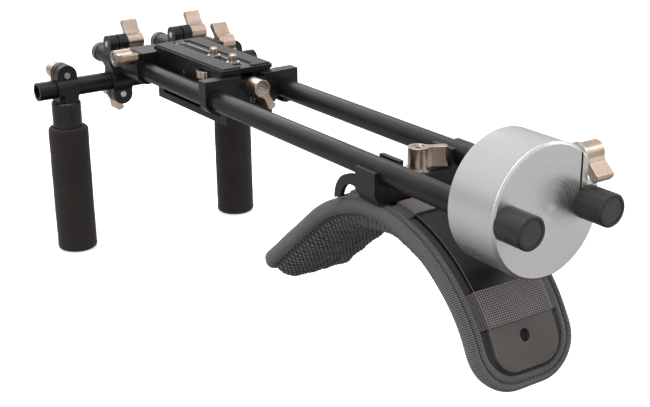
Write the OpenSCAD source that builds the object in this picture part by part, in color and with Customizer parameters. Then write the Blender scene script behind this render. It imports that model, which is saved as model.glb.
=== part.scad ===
// Shoulder camera rig on two 15 mm rods. Millimetres, +Z up, +Y towards the handles.
// The origin is midway between the two camera screws, on the top face of the camera plate.

/* [Rods] */
// Diameter of the main rods and of the cross rod
rod_d = 15; // [12:0.5:18]
// Wall of every rod
rod_wall = 2; // [1.5:0.5:3]
// Distance between the centres of the main rods
rod_spacing = 60; // [60:1:76]
// Rod length from the counterweight's rear face to the screwed joint
rear_rod_len = 200; // [180:1:220]
// Front end of the left rod, from the counterweight's rear face
left_rod_end = 518; // [512:1:540]
// Front end of the right rod, from the counterweight's rear face
right_rod_end = 526; // [512:1:540]
// Radial clearance of everything that slides or turns on a rod or screw
run_fit = 0.06; // [0.03:0.01:0.09]

/* [Counterweight] */
// Diameter of the counterweight
weight_d = 80; // [78:1:84]
// Length of the counterweight along the rods
weight_len = 39; // [30:1:42]
// Edge break on the counterweight's rims
weight_edge = 1.5; // [0.5:0.25:3]
// Diameter of the rods' rear end caps
rear_cap_d = 20; // [18:0.5:22]
// Length of the rods' rear end caps
rear_cap_len = 19.5; // [16:0.5:24]

/* [Shoulder pad] */
// Centre of the shoulder bracket, from the counterweight's rear face
saddle_y = 115; // [112:1:130]
// Length of the shoulder bracket along the rods
saddle_len = 20; // [14:1:24]
// Radius of the pad's arch, to the top of the shell
arch_r = 111; // [105:1:116]
// Width of the pad with its edge binding
pad_w = 76; // [66:1:84]
// Thickness of the pad in its middle
pad_t = 22.5; // [18:0.5:24]
// Thickness of the pad at its bound edge
pad_edge_t = 7.4; // [6:0.2:9]
// Width of the rigid shell on the pad
shell_w = 48; // [40:1:52]
// Thickness of the shell
shell_t = 3; // [2:0.5:4]
// Length of the pad's straight front wing
wing_len = 91; // [76:1:100]
// Thickness of the webbing straps
strap_t = 1.2; // [0.8:0.1:1.6]

/* [Baseplate] */
// Rear face of the baseplate, from the counterweight's rear face
base_y = 313; // [305:1:318]
// Length of the baseplate's block
block_len = 110; // [104:1:112]
// Width of the baseplate's block
block_w = 40; // [36:1:42]
// Depth of the block's underside below the rod axes
block_drop = 22.5; // [20:0.5:26]
// Height of the rod brackets' top above the rod axes
bracket_top = 15.2; // [14.6:0.1:16]
// Width of the rod brackets
bracket_w = 80; // [79:1:86]
// Length of the rear rod bracket
rear_bracket_len = 10; // [8:1:12]
// Length of the front rod bracket
front_bracket_len = 28; // [22:1:30]

/* [Camera plate] */
// Width of the camera plate
plate_w = 44; // [42:1:50]
// Length of the camera plate
plate_len = 112; // [100:1:118]
// Thickness of the camera plate
plate_t = 4.3; // [3.5:0.1:5]
// Height of the rubber strips above the plate
strip_h = 1; // [0.6:0.1:1.5]
// Distance between the two camera screws
screw_gap = 29; // [24:1:40]
// Diameter of the camera screws, a quarter-inch thread
camera_screw_d = 6.35; // [6.35, 9.525]
// Width of the slot that the camera screws slide in
slot_w = 11; // [10:0.5:12]

/* [Clamps and levers] */
// Centre of the cross rod, from the counterweight's rear face
cross_y = 483; // [480:1:490]
// Depth of the cross rod's axis below the main rods'
cross_drop = 17.8; // [17.2:0.2:22]
// Length of the cross rod
cross_len = 205; // [196:1:240]
// Width of the rod clamps, across their ears
clamp_w = 17; // [14:1:18]
// Length of the rod clamps, across their split ears
clamp_len = 15; // [13:1:16]
// Wall of the rod clamps around a rod
clamp_wall = 3; // [2.5:0.5:4]
// Width of the slits that let the clamps close
slit = 1.6; // [1:0.2:2]
// Diameter of the lever's barrel
lever_d = 13; // [11:0.5:14]
// Length of the lever's barrel
lever_h = 14; // [12:0.5:16]
// Reach of the lever's blade from its axis
lever_reach = 18.4; // [15:0.1:18.6]
// Diameter of the clamp screws
bolt_d = 5; // [4:0.5:5]

/* [Handles] */
// Distance between the handles
handle_gap = 157; // [150:1:165]
// Diameter of the foam grips
grip_d = 33; // [30:1:38]
// Length of the foam grips
grip_len = 107.5; // [90:0.5:130]
// Diameter of the metal collars above the grips
collar_d = 24; // [22:1:28]
// Length of the metal collars
collar_len = 23; // [16:1:26]

/* [Hidden] */
$fn = 64;

rod_r = rod_d / 2;
bore_r = rod_r + run_fit;
rod_x = rod_spacing / 2;
big = 600;
hair = 0.01;

// Camera plate heights above the rod axes
plate_gap = 0.3;
plate_bottom = bracket_top + plate_gap;
plate_top = plate_bottom + plate_t;
face_z = plate_top + strip_h;
plate_y = base_y + 5.8;
screws_y = base_y + 42.5;

// Arch of the pad: centre, and the angles where its rear and front arcs end
arch_y = saddle_y - 3;
arch_z = -arch_r - 19;
wing_from = 50;
rear_end = 169;
shell_rear_end = 163;
pad_top_r = arch_r - shell_t;
pad_low_r = pad_top_r - pad_t;
edge_low_r = pad_top_r - pad_edge_t;
shell_short = 30;
corner_steps = 12;
arch_steps = 60;
wing_turn = wing_from - 90;

// Levers, ears and screws
bolt_r = bolt_d / 2;
bolt_hole_r = bolt_r + run_fit;
head_r = 4.2;
head_h = 4;
ring_r = rod_r + clamp_wall;
ear_r = 7;
ear_z = rod_r + bolt_r + 3.3;
low_ear_r = clamp_w / 2;
low_ear_z = -cross_drop - rod_r - bolt_r - 1.2;
handle_ear_z = rod_r + bolt_r + 1.6;
collar_z = ring_r + 0.5;
spigot_top = bore_r + 0.8;
lever_gap = 0.3;

bronze = "#c8a98a";
steel = "#cfcfcf";
satin_black = "#3a3b3c";
foam_grey = "#3f3c3b";
cloth_grey = "#7d7b7b";

// Everything is drawn from the counterweight's rear face and the rods' plane, then moved to the origin
module in_frame() { translate([0, -screws_y, -face_z]) children(); }

// Turns a shape that stands on +Z so that it points along another axis; its +X stays in the plane
// named by the module
module to_right() { rotate([0, 90, 0]) children(); }
module to_left() { rotate([0, -90, 0]) children(); }
module to_front() { rotate([-90, 0, 0]) children(); }
module to_rear() { rotate([90, 0, 0]) children(); }
// Extrudes a side view, drawn as Y and Z, across the rig
module across(w) { rotate([90, 0, 90]) linear_extrude(w, center = true) children(); }
// Extrudes a rear view, drawn as X and Z, along the rods from y0
module along(y0, len) { translate([0, y0 + len, 0]) rotate([90, 0, 0]) linear_extrude(len) children(); }

// ---------- shared pieces ----------

module tube(r, wall, len) {
    difference() {
        cylinder(r = r, h = len);
        translate([0, 0, -1]) cylinder(r = r - wall, h = len + 2);
    }
}

// Lever: barrel with a flat blade, seated at z = 0, blade along +X before it is turned
module lever(turn = 0) {
    blade_t = 5.5;
    blade_from = 1.2;
    difference() {
        rotate([0, 0, turn]) union() {
            cylinder(d = lever_d, h = lever_h);
            translate([0, 0, blade_from]) linear_extrude(lever_h - blade_from) {
                polygon([
                    [0, -lever_d / 2 + 0.6], [0, lever_d / 2 - 0.6], [lever_d / 2 + 2, blade_t / 2 - 0.3],
                    [lever_reach - 1.5, blade_t / 2 + 0.4], [lever_reach, blade_t / 2 - 0.8],
                    [lever_reach, -blade_t / 2 + 0.8], [lever_reach - 1.5, -blade_t / 2 - 0.4],
                    [lever_d / 2 + 2, -blade_t / 2 + 0.3]
                ]);
            }
        }
        translate([0, 0, -1]) cylinder(r = bolt_hole_r, h = lever_h + 2);
        translate([0, 0, lever_h - head_h - 0.6]) cylinder(r = head_r + 0.3, h = head_h + 2);
    }
}

// Socket screw of a lever: its head sits in the barrel and its shank runs grip below the seat
module lever_screw(grip) {
    top = lever_h - 0.6;
    difference() {
        union() {
            translate([0, 0, -grip]) cylinder(r = bolt_r, h = grip + top - head_h + 0.5);
            translate([0, 0, top - head_h]) cylinder(r = head_r, h = head_h);
        }
        translate([0, 0, top - 2.4]) cylinder(r = 2.3, h = 4, $fn = 6);
    }
}

module washer(r, hole_r, t) {
    difference() {
        cylinder(r = r, h = t);
        translate([0, 0, -1]) cylinder(r = hole_r, h = t + 2);
    }
}

// Tab with a round end: r at height z above a foot at height foot, drawn in two dimensions
module tab_2d(r, z, foot) {
    translate([0, z]) circle(r = r);
    translate([-r, min(z, foot)]) square([2 * r, abs(z - foot)]);
}

// ---------- rods ----------

module rod_piece(side, y0, y1) {
    translate([side * rod_x, y0, 0]) to_front() tube(rod_r, rod_wall, y1 - y0);
}

rear_rod_end = -rear_cap_len + 4;
front_cap_len = 7;

module rod_rear_left() { color(satin_black) in_frame() rod_piece(-1, rear_rod_end, rear_rod_len); }
module rod_rear_right() { color(satin_black) in_frame() rod_piece(1, rear_rod_end, rear_rod_len); }
module rod_front_left() {
    color(satin_black) in_frame() rod_piece(-1, rear_rod_len, left_rod_end - front_cap_len);
}
module rod_front_right() {
    color(satin_black) in_frame() rod_piece(1, rear_rod_len, right_rod_end - front_cap_len);
}

disc_recess = 1.2;
disc_r = rear_cap_d / 2 - 2.6;

module rear_caps() {
    color("#2b2b2b") in_frame() for (side = [-1, 1]) translate([side * rod_x, -0.1, 0]) to_rear() difference() {
        union() {
            cylinder(d = rear_cap_d, h = rear_cap_len - 0.8);
            translate([0, 0, rear_cap_len - 0.8]) cylinder(d1 = rear_cap_d, d2 = rear_cap_d - 1.4, h = 0.8);
        }
        translate([0, 0, -1]) cylinder(r = rod_r, h = -rear_rod_end + 0.9);
        translate([0, 0, rear_cap_len - disc_recess]) cylinder(r = disc_r + 0.1, h = 3);
    }
}

module rear_cap_discs() {
    color("#4a4d50") in_frame() for (side = [-1, 1]) {
        translate([side * rod_x, -0.1 - rear_cap_len + disc_recess, 0]) to_rear() cylinder(r = disc_r, h = 0.8);
    }
}

module front_cap(end_y, side) {
    lip = 1.5;
    translate([side * rod_x, end_y - front_cap_len, 0]) to_front() {
        cylinder(r = rod_r + 0.6, h = front_cap_len - lip);
        translate([0, 0, front_cap_len - lip]) cylinder(r1 = rod_r + 0.6, r2 = rod_r - 0.9, h = lip);
        translate([0, 0, -8]) cylinder(r = rod_r - rod_wall - 0.05, h = 8 + hair);
    }
}

module front_caps() {
    color("#8d8f90") in_frame() {
        front_cap(left_rod_end, -1);
        front_cap(right_rod_end, 1);
    }
}

// ---------- counterweight ----------

weight_screw_y = 9;
weight_screw_z = 25.2;
notch_x = rod_x - 0.5;
notch_z = rod_r + 2.2;
weight_slit_x = rod_x - 5.5;
washer_t = 1.2;

module counterweight() {
    r = weight_d / 2;
    color(steel) in_frame() difference() {
        to_front() union() {
            translate([0, 0, weight_edge]) cylinder(r = r, h = weight_len - 2 * weight_edge);
            cylinder(r1 = r - weight_edge, r2 = r, h = weight_edge);
            translate([0, 0, weight_len - weight_edge]) cylinder(r1 = r, r2 = r - weight_edge, h = weight_edge);
        }
        for (side = [-1, 1]) {
            translate([side * rod_x, -1, 0]) to_front() cylinder(r = bore_r, h = weight_len + 2);
        }
        translate([notch_x, -1, notch_z]) cube([r, weight_len + 2, r]);
        translate([weight_slit_x - slit / 2, -1, 0]) cube([slit, weight_len + 2, r + 1]);
        translate([0, weight_screw_y, weight_screw_z]) to_right() cylinder(r = bolt_hole_r, h = r);
    }
}

module at_weight_screw() { translate([notch_x + washer_t, weight_screw_y, weight_screw_z]) to_right() children(); }
module weight_washer() {
    color(steel) in_frame() at_weight_screw() translate([0, 0, -washer_t]) washer(7.4, bolt_hole_r, washer_t);
}
module weight_screw() { color(steel) in_frame() at_weight_screw() lever_screw(notch_x + washer_t - 2); }
module weight_lever() { color(bronze) in_frame() at_weight_screw() lever(-45); }

// ---------- shoulder bracket and pad ----------

saddle_bottom = arch_z + arch_r - 3;
saddle_top = -6;
lip_t = 3.4;
outer_lip_left = 2;
outer_lip_right = 5;
inner_lip = 6.3;

module saddle_view() {
    out = rod_x + bore_r + lip_t;
    inn = rod_x - bore_r - lip_t;
    chamfer = 6;
    difference() {
        union() {
            polygon([
                [-out, outer_lip_left], [-out, -13], [-out + chamfer, saddle_bottom],
                [out - chamfer, saddle_bottom], [out, -13], [out, outer_lip_right],
                [rod_x, outer_lip_right], [rod_x, inner_lip], [inn, inner_lip], [inn, saddle_top],
                [-inn, saddle_top], [-inn, inner_lip], [-rod_x, inner_lip], [-rod_x, outer_lip_left]
            ]);
        }
        for (side = [-1, 1]) translate([side * rod_x, 0]) {
            circle(r = bore_r);
            translate([-bore_r, 0]) square([2 * bore_r, 20]);
        }
    }
}

// Arm in front of the bracket, on each side, seen from the side: it curves forward and down
arm_t = 6.5;
module saddle_arm_view() {
    r = 19;
    y = saddle_y + saddle_len / 2 + 3.5;
    z = -24;
    polygon(concat(
        [[y + r, z - 8]], arc_points(y, z, r, 0, 104, corner_steps * 2),
        arc_points(y, z, r - arm_t, 104, 0, corner_steps * 2), [[y + r - arm_t, z - 8]]
    ));
}

module saddle_bracket() {
    arm_w = lip_t - 0.2;
    color(satin_black) in_frame() difference() {
        union() {
            along(saddle_y - saddle_len / 2, saddle_len) saddle_view();
            for (side = [-1, 1]) {
                translate([side * (rod_x + bore_r + lip_t - arm_w / 2), 0, 0]) across(arm_w) saddle_arm_view();
            }
        }
        across(2 * big) translate([arch_y, arch_z]) circle(r = arch_r + 0.02, $fn = 180);
        translate([0, saddle_y, -40]) cylinder(r = bolt_hole_r, h = 60);
    }
}

// Points of an arc of radius r about [x, y], from angle a0 to angle a1, in n steps
function arc_points(x, y, r, a0, a1, n) = [
    for (i = [0:n]) let (a = a0 + (a1 - a0) * i / n) [x + r * cos(a), y + r * sin(a)]
];

// Side view of a plate that follows the arch: an arc at the rear and a straight wing at the front
module arch_view(r_in, r_out, end_angle, straight) {
    tip = straight * [cos(wing_turn), sin(wing_turn)];
    outer = arc_points(arch_y, arch_z, r_out, end_angle, wing_from, arch_steps);
    inner = arc_points(arch_y, arch_z, r_in, wing_from, end_angle, arch_steps);
    polygon(concat(outer, [outer[arch_steps] + tip, inner[0] + tip], inner));
}

// Rounded end for a plate on the arch: everything behind the end line, with corners of radius r.
// at is where the end line crosses the arch, seen from the side, and angle is the way it points
module end_mask(at, angle, w, r) {
    translate([0, at[0], at[1]]) rotate([angle, 0, 0]) linear_extrude(2 * big, center = true) {
        polygon(concat(
            [[-w / 2, -2 * big], [w / 2, -2 * big]],
            arc_points(w / 2 - r, -r, r, 0, 90, corner_steps),
            arc_points(r - w / 2, -r, r, 90, 180, corner_steps)
        ));
    }
}

function on_arch(r, a) = [arch_y + r * cos(a), arch_z + r * sin(a)];
function on_wing(r, d) = on_arch(r, wing_from) + d * [cos(wing_turn), sin(wing_turn)];

// Plate of width w on the arch, its ends rounded with radius r at the rear and front_r at the front
module arch_plate(w, r_in, r_out, end_angle, straight, r, front_r) {
    intersection() {
        across(w) arch_view(r_in, r_out, end_angle + 8, straight + 20);
        end_mask(on_arch(pad_top_r, end_angle), 180 + end_angle - 98, w, r);
        end_mask(on_wing(pad_top_r, straight), wing_turn, w, front_r);
    }
}

tip_hole_r = 4;
wing_hole = wing_len - shell_short - 8;

module saddle_shell() {
    color("#2f2d2d") in_frame() difference() {
        arch_plate(shell_w, pad_top_r + 0.1, arch_r, shell_rear_end, wing_len - shell_short, 14, 14);
        translate([0, on_arch(arch_r, 153)[0], on_arch(arch_r, 153)[1]]) rotate([63, 0, 0]) {
            cylinder(r = tip_hole_r, h = 30, center = true);
        }
        translate([0, on_wing(arch_r, wing_hole)[0], on_wing(arch_r, wing_hole)[1]]) {
            rotate([wing_turn, 0, 0]) cylinder(r = tip_hole_r, h = 30, center = true);
        }
        translate([0, saddle_y, -60]) cylinder(r = bolt_hole_r, h = 60);
    }
}

binding_w = 5;
pad_corner = 29;
nose_corner = 20;

// Cushion: an edge layer inside the binding and a thicker, narrower belly under it
module pad_cushion() {
    inner = binding_w + 0.05;
    belly = binding_w + 3;
    end_angle = rear_end - 2.4;
    color("#5b5a5b") in_frame() difference() {
        union() {
            arch_plate(
                pad_w - 2 * inner, edge_low_r, pad_top_r, end_angle - 0.03,
                wing_len - inner, pad_corner - inner, nose_corner - inner
            );
            arch_plate(
                pad_w - 2 * belly, pad_low_r, pad_top_r - 1, end_angle - 2,
                wing_len - belly, pad_corner - belly, nose_corner - belly
            );
        }
        translate([0, saddle_y, arch_z]) cylinder(r = bolt_r + 4, h = arch_r - shell_t - 4);
    }
}

module pad_binding() {
    color(cloth_grey) in_frame() difference() {
        arch_plate(pad_w, edge_low_r - 0.6, pad_top_r + 0.6, rear_end, wing_len, pad_corner, nose_corner);
        arch_plate(
            pad_w - 2 * binding_w, edge_low_r - 9, pad_top_r + 9,
            rear_end - 2.4, wing_len - binding_w, pad_corner - binding_w, nose_corner - binding_w
        );
    }
}

// Strap over the shell, seen as its height above the pad: flat on top, legs down, feet on the pad
strap_reach = pad_w / 2 - 8.5;
module strap_section() {
    half = shell_w / 2 + 0.4;
    low = pad_top_r + 0.8;
    high = arch_r + 0.2;
    for (side = [0, 1]) mirror([0, side]) {
        polygon([
            [high, -hair], [high + strap_t, -hair], [high + strap_t, half + strap_t], [low + strap_t, half + strap_t],
            [low + strap_t, strap_reach], [low, strap_reach], [low, half], [high, half]
        ]);
    }
}

module strap_arc(a0, a1) {
    translate([0, arch_y, arch_z]) rotate([90, 0, 90]) rotate([0, 0, a0]) {
        rotate_extrude(angle = a1 - a0, $fn = 180) strap_section();
    }
}

upper_strap = [95, 103.5];
lower_strap = [136.5, 148];

module pad_upper_straps() {
    color(cloth_grey) in_frame() {
        strap_arc(upper_strap[0], upper_strap[1]);
        strap_arc(172 - upper_strap[1], 172 - upper_strap[0]);
    }
}

module pad_lower_straps() {
    color(cloth_grey) in_frame() {
        strap_arc(lower_strap[0], lower_strap[1]);
        translate([0, arch_y, arch_z]) rotate([wing_turn, 0, 0]) translate([0, 10, 0]) rotate([-90, 0, 0]) {
            linear_extrude(22) rotate(-90) strap_section();
        }
    }
}

saddle_washer_r = 8.5;
module at_saddle_screw() { translate([0, saddle_y, saddle_top + washer_t]) children(); }
module saddle_washer() {
    color(steel) in_frame() at_saddle_screw() translate([0, 0, -washer_t]) {
        washer(saddle_washer_r, bolt_hole_r, washer_t);
    }
}
module saddle_screw() { color(steel) in_frame() at_saddle_screw() lever_screw(washer_t + 15.5); }
module saddle_lever() { color(bronze) in_frame() at_saddle_screw() lever(-27); }

// ---------- baseplate ----------

block_y = base_y + 5.8;
step_z = -8;
rabbet_rear = base_y + rear_bracket_len;
rabbet_front = block_y + block_len - 3.5;
front_bracket_y = rabbet_front;
hook_r = rod_r + 2.8;
rail_top = 9.5;
rail_low = 11;
rail_h = 3.4;
rail_gap = 0.15;
channel_floor = 7.5;
channel_w = 13;
lock_x = -block_w / 2 + 1.4;
lock_y = base_y + 37.4;
lock_r = 7;
lock_h = 5.5;
lock_z = 8.8;
lock_pin_r = 1.2;
window_low = -17;
window_high = -9.6;
base_bolt_z = 7.5;
rear_bolt_bite = 3.2;
side_bolt_z = rod_r + bolt_r + 1.8;

// Rail of the camera plate and its groove, seen from the rear: g is the gap around it
module rail_view(g) {
    polygon([
        [-rail_top - g, plate_bottom + 1], [rail_top + g, plate_bottom + 1], [rail_top + g, plate_bottom],
        [rail_low + g, plate_bottom - rail_h - g], [-rail_low - g, plate_bottom - rail_h - g],
        [-rail_top - g, plate_bottom]
    ]);
}

module base_block() {
    top = bracket_top - 0.5;
    color(satin_black) in_frame() difference() {
        union() {
            along(rabbet_rear, rabbet_front - rabbet_rear) {
                translate([-block_w / 2, step_z - hair]) square([block_w, top - step_z + hair]);
            }
            along(block_y, block_len) translate([-block_w / 2, -block_drop]) {
                square([block_w, block_drop + step_z]);
            }
        }
        along(0, big) rail_view(rail_gap);
        translate([-channel_w / 2, rabbet_rear + 4, channel_floor]) {
            cube([channel_w, rabbet_front - rabbet_rear - 8, 30]);
        }
        // window through the lower frame, with round ends
        translate([0, 0, (window_low + window_high) / 2]) across(2 * block_w) {
            w = window_high - window_low;
            translate([block_y + 9, -w / 2]) square([block_len - 18, w]);
        }
        // pocket of the plate lock, open to the left
        translate([lock_x, lock_y, lock_z - 0.2]) cylinder(r = lock_r + 0.8, h = 20);
        translate([-block_w, lock_y - lock_r - 5, lock_z - 0.2]) {
            cube([block_w + lock_x, 2 * lock_r + 5.8, 20]);
        }
        translate([lock_x, lock_y, lock_z - 9]) cylinder(r = lock_pin_r + run_fit, h = 20);
        translate([0, rabbet_rear - 1, base_bolt_z]) to_front() cylinder(r = bolt_hole_r, h = rear_bolt_bite + 1.1);
        base_screw_places() {
            translate([0, 0, -9]) cylinder(r = 1.5, h = 10);
            translate([0, 0, -2]) cylinder(r = 2.9, h = 20);
        }
    }
}

// Rod bracket seen from the rear: a bar across the rods with a hook under each
module bracket_view() {
    difference() {
        union() {
            translate([-bracket_w / 2, 0]) square([bracket_w, bracket_top]);
            translate([-block_w / 2, step_z + 0.02]) square([block_w, 10]);
            for (side = [-1, 1]) translate([side * rod_x, 0]) circle(r = hook_r);
        }
        for (side = [-1, 1]) translate([side * rod_x, 0]) {
            circle(r = bore_r);
            mirror([side > 0 ? 0 : 1, 0]) rotate(228) translate([0, -2.5]) square([20, 5]);
        }
        translate([0, plate_bottom - 0.5 + 20]) square([plate_w + 4, 40], center = true);
    }
}

module base_bracket_rear() {
    color(satin_black) in_frame() difference() {
        along(base_y, rear_bracket_len) bracket_view();
        along(0, big) rail_view(rail_gap);
        translate([0, base_y - 1, base_bolt_z]) to_front() cylinder(r = bolt_hole_r, h = 20);
        base_screw_places() {
            translate([0, 0, -12]) cylinder(r = 1.55, h = 20);
            translate([0, 0, -2]) cylinder(r = 2.9, h = 20);
        }
    }
}

bracket_slit_x = bracket_w / 2 - 5;
side_bolt_y = front_bracket_y + 11;

module base_bracket_front() {
    color(satin_black) in_frame() difference() {
        along(front_bracket_y, front_bracket_len) bracket_view();
        along(0, big) rail_view(rail_gap);
        for (side = [-1, 1]) {
            translate([side * bracket_slit_x - slit / 2, 0, rod_r + 0.8]) cube([slit, big, 40]);
            translate([0, side_bolt_y, side_bolt_z]) rotate([0, side * 90, 0]) translate([0, 0, 20]) {
                cylinder(r = bolt_hole_r, h = 40);
            }
        }
        base_screw_places() {
            translate([0, 0, -12]) cylinder(r = 1.55, h = 20);
            translate([0, 0, -2]) cylinder(r = 2.9, h = 20);
        }
    }
}

// Small socket screws: two in the block's sides, one in the face of each bracket
module base_screw_places() {
    translate([0, base_y, -3.5]) to_rear() children();
    translate([0, front_bracket_y + front_bracket_len, -3.5]) to_front() children();
    for (side = [-1, 1]) {
        translate([side * block_w / 2, base_y + 72, 5]) rotate([0, side * 90, 0]) children();
    }
}

module base_screws() {
    color("#6f7072") in_frame() base_screw_places() difference() {
        union() {
            translate([0, 0, -1.8]) cylinder(r = 2.7, h = 2);
            translate([0, 0, -8.5]) cylinder(r = 1.45, h = 7);
        }
        translate([0, 0, -1]) cylinder(r = 1.3, h = 3, $fn = 6);
    }
}

module at_base_rear() { translate([0, base_y - 0.2, base_bolt_z]) to_rear() children(); }
module base_rear_screw() {
    color(steel) in_frame() at_base_rear() lever_screw(rear_bracket_len + rear_bolt_bite - 0.2);
}
module base_rear_lever() { color(bronze) in_frame() at_base_rear() lever(-61); }

module at_base_side(side) {
    translate([side * (bracket_w / 2 + 0.2), side_bolt_y, side_bolt_z]) rotate([0, side * 90, 0]) children();
}
module base_left_screw() { color(steel) in_frame() at_base_side(-1) lever_screw(18); }
module base_left_lever() { color(bronze) in_frame() at_base_side(-1) lever(-80); }
module base_right_screw() { color(steel) in_frame() at_base_side(1) lever_screw(18); }
module base_right_lever() { color(bronze) in_frame() at_base_side(1) lever(140); }

module plate_lock_screw() {
    color(steel) in_frame() translate([lock_x, lock_y, 0]) {
        translate([0, 0, lock_z - 8]) cylinder(r = lock_pin_r, h = 11);
    }
}

module plate_lock_knob() {
    notch_n = 12;
    color(bronze) in_frame() translate([lock_x, lock_y, lock_z]) difference() {
        cylinder(r = lock_r, h = lock_h);
        translate([0, 0, -1]) cylinder(r = lock_pin_r + 0.05, h = 4.2);
        for (i = [0 : notch_n - 1]) rotate(i * 360 / notch_n) {
            translate([lock_r + 0.35, 0, -1]) cylinder(r = 0.8, h = 20, $fn = 16);
        }
    }
}

// ---------- camera plate ----------

slot_rear = plate_y + 15;
slot_front = plate_y + plate_len - 8;
floor_z = plate_top - 0.7;
floor_w = slot_w + 5;

module rounded_plate(w, len, r) {
    translate([-w / 2 + r, 0]) square([w - 2 * r, len]);
    translate([-w / 2, r]) square([w, len - 2 * r]);
    for (x = [-1, 1]) for (y = [r, len - r]) translate([x * (w / 2 - r), y]) circle(r = r);
}

module camera_slot_2d(w) {
    translate([-w / 2, slot_rear]) square([w, slot_front - slot_rear]);
    for (y = [slot_rear, slot_front]) translate([0, y]) circle(d = w);
}

module camera_plate() {
    under = 1.2;
    shaft_w = camera_screw_d + 1;
    color("#47494a") in_frame() difference() {
        union() {
            translate([0, plate_y, plate_bottom + under]) linear_extrude(plate_t - under) {
                rounded_plate(plate_w, plate_len, 2.5);
            }
            translate([0, plate_y + 1, plate_bottom]) linear_extrude(under + hair) {
                rounded_plate(plate_w - 2.4, plate_len - 2, 2);
            }
            along(plate_y + 2, plate_len - 4) rail_view(0);
        }
        translate([0, 0, floor_z]) linear_extrude(20) camera_slot_2d(slot_w);
        translate([0, 0, -20]) linear_extrude(80) camera_slot_2d(shaft_w);
        translate([-channel_w / 2 + 0.4, 0, 0]) cube([channel_w - 0.8, big, plate_bottom]);
    }
}

module plate_strips() {
    edge = 1.6;
    strip_w = (plate_w - floor_w) / 2 - edge;
    hook = 3.5;
    color("#56585a") in_frame() translate([0, plate_y, plate_top]) linear_extrude(strip_h) {
        for (side = [0, 1]) mirror([side, 0]) {
            translate([floor_w / 2, 2.5]) square([strip_w, plate_len - 5]);
            for (y = [2.5, plate_len - 2.5 - hook]) translate([floor_w / 2 - 3, y]) square([3 + hair, hook]);
        }
    }
}

camera_washer_r = slot_w / 2 - 0.3;
module camera_screw(y) {
    head_top = plate_bottom - 0.1;
    thread_z = face_z - 0.4;
    tip_z = face_z + 4.2;
    translate([0, y, 0]) difference() {
        union() {
            translate([0, 0, head_top - 2.8]) cylinder(r = channel_w / 2 - 0.9, h = 2.8);
            translate([0, 0, head_top - hair]) cylinder(d = camera_screw_d - 0.6, h = face_z - head_top);
            translate([0, 0, thread_z]) cylinder(d = camera_screw_d, h = tip_z - thread_z);
            translate([0, 0, tip_z - hair]) cylinder(d1 = camera_screw_d, d2 = camera_screw_d - 1.6, h = 0.8);
        }
        translate([-5, -0.5, tip_z - 0.8]) cube([10, 1, 3]);
    }
}

module camera_washer(y) {
    translate([0, y, floor_z]) washer(camera_washer_r, camera_screw_d / 2 + 0.05, 0.9);
}

module camera_screw_front() { color(bronze) in_frame() camera_screw(screws_y + screw_gap / 2); }
module camera_washer_front() { color(steel) in_frame() camera_washer(screws_y + screw_gap / 2); }
module camera_screw_rear() { color(bronze) in_frame() camera_screw(screws_y - screw_gap / 2); }
module camera_washer_rear() { color(steel) in_frame() camera_washer(screws_y - screw_gap / 2); }

// ---------- cross rod and its clamps ----------

module cross_rod() {
    color(satin_black) in_frame() translate([-cross_len / 2, cross_y, -cross_drop]) {
        to_right() tube(rod_r, rod_wall, cross_len);
    }
}

// Room for a lever on a clamp's front: the ring is cut flat there, with a round seat at height z
module lever_relief(z) {
    translate([-big, clamp_len / 2 + 1, -big]) cube(2 * big);
    translate([0, clamp_len / 2, z]) to_front() cylinder(r = lever_d / 2 + 0.4, h = 20);
}

module cross_clamp(side) {
    half_l = clamp_len / 2;
    translate([side * rod_x, cross_y, 0]) difference() {
        union() {
            translate([0, -half_l, 0]) to_front() cylinder(r = ring_r, h = clamp_len);
            across(clamp_w) tab_2d(ear_r, ear_z, 0);
            translate([-clamp_w / 2, 0, -cross_drop]) to_right() cylinder(r = ring_r, h = clamp_w);
            along(-half_l, clamp_len) translate([0, 0]) tab_2d(low_ear_r, low_ear_z, -cross_drop);
            translate([-low_ear_r, -half_l, -cross_drop]) cube([clamp_w, clamp_len, cross_drop]);
        }
        translate([0, -big, 0]) to_front() cylinder(r = bore_r, h = 2 * big);
        translate([-big, 0, -cross_drop]) to_right() cylinder(r = bore_r, h = 2 * big);
        translate([-slit / 2, -20, 0]) cube([slit, 40, 40]);
        translate([-20, -slit / 2, -cross_drop - 40]) cube([40, slit, 40]);
        translate([-20, 0, ear_z]) to_right() cylinder(r = bolt_hole_r, h = 40);
        translate([0, -20, low_ear_z]) to_front() cylinder(r = bolt_hole_r, h = 40);
        lever_relief(low_ear_z);
    }
}

module at_cross_top(side) {
    translate([side * rod_x + clamp_w / 2 + lever_gap, cross_y, ear_z]) to_right() children();
}
module at_cross_low(side) {
    translate([side * rod_x, cross_y + clamp_len / 2 + lever_gap, low_ear_z]) to_front() children();
}

top_turn = 149;
low_turn = 75;
module cross_clamp_left() { color(satin_black) in_frame() cross_clamp(-1); }
module cross_left_top_screw() { color(steel) in_frame() at_cross_top(-1) lever_screw(clamp_w + 0.8); }
module cross_left_top_lever() { color(bronze) in_frame() at_cross_top(-1) lever(top_turn); }
module cross_left_low_screw() { color(steel) in_frame() at_cross_low(-1) lever_screw(clamp_len + 0.8); }
module cross_left_low_lever() { color(bronze) in_frame() at_cross_low(-1) lever(low_turn); }
module cross_clamp_right() { color(satin_black) in_frame() cross_clamp(1); }
module cross_right_top_screw() { color(steel) in_frame() at_cross_top(1) lever_screw(clamp_w + 0.8); }
module cross_right_top_lever() { color(bronze) in_frame() at_cross_top(1) lever(top_turn); }
module cross_right_low_screw() { color(steel) in_frame() at_cross_low(1) lever_screw(clamp_len + 0.8); }
module cross_right_low_lever() { color(bronze) in_frame() at_cross_low(1) lever(low_turn); }

// ---------- handles ----------

module at_handle(side) { translate([side * handle_gap / 2, cross_y, -cross_drop]) children(); }

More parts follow.
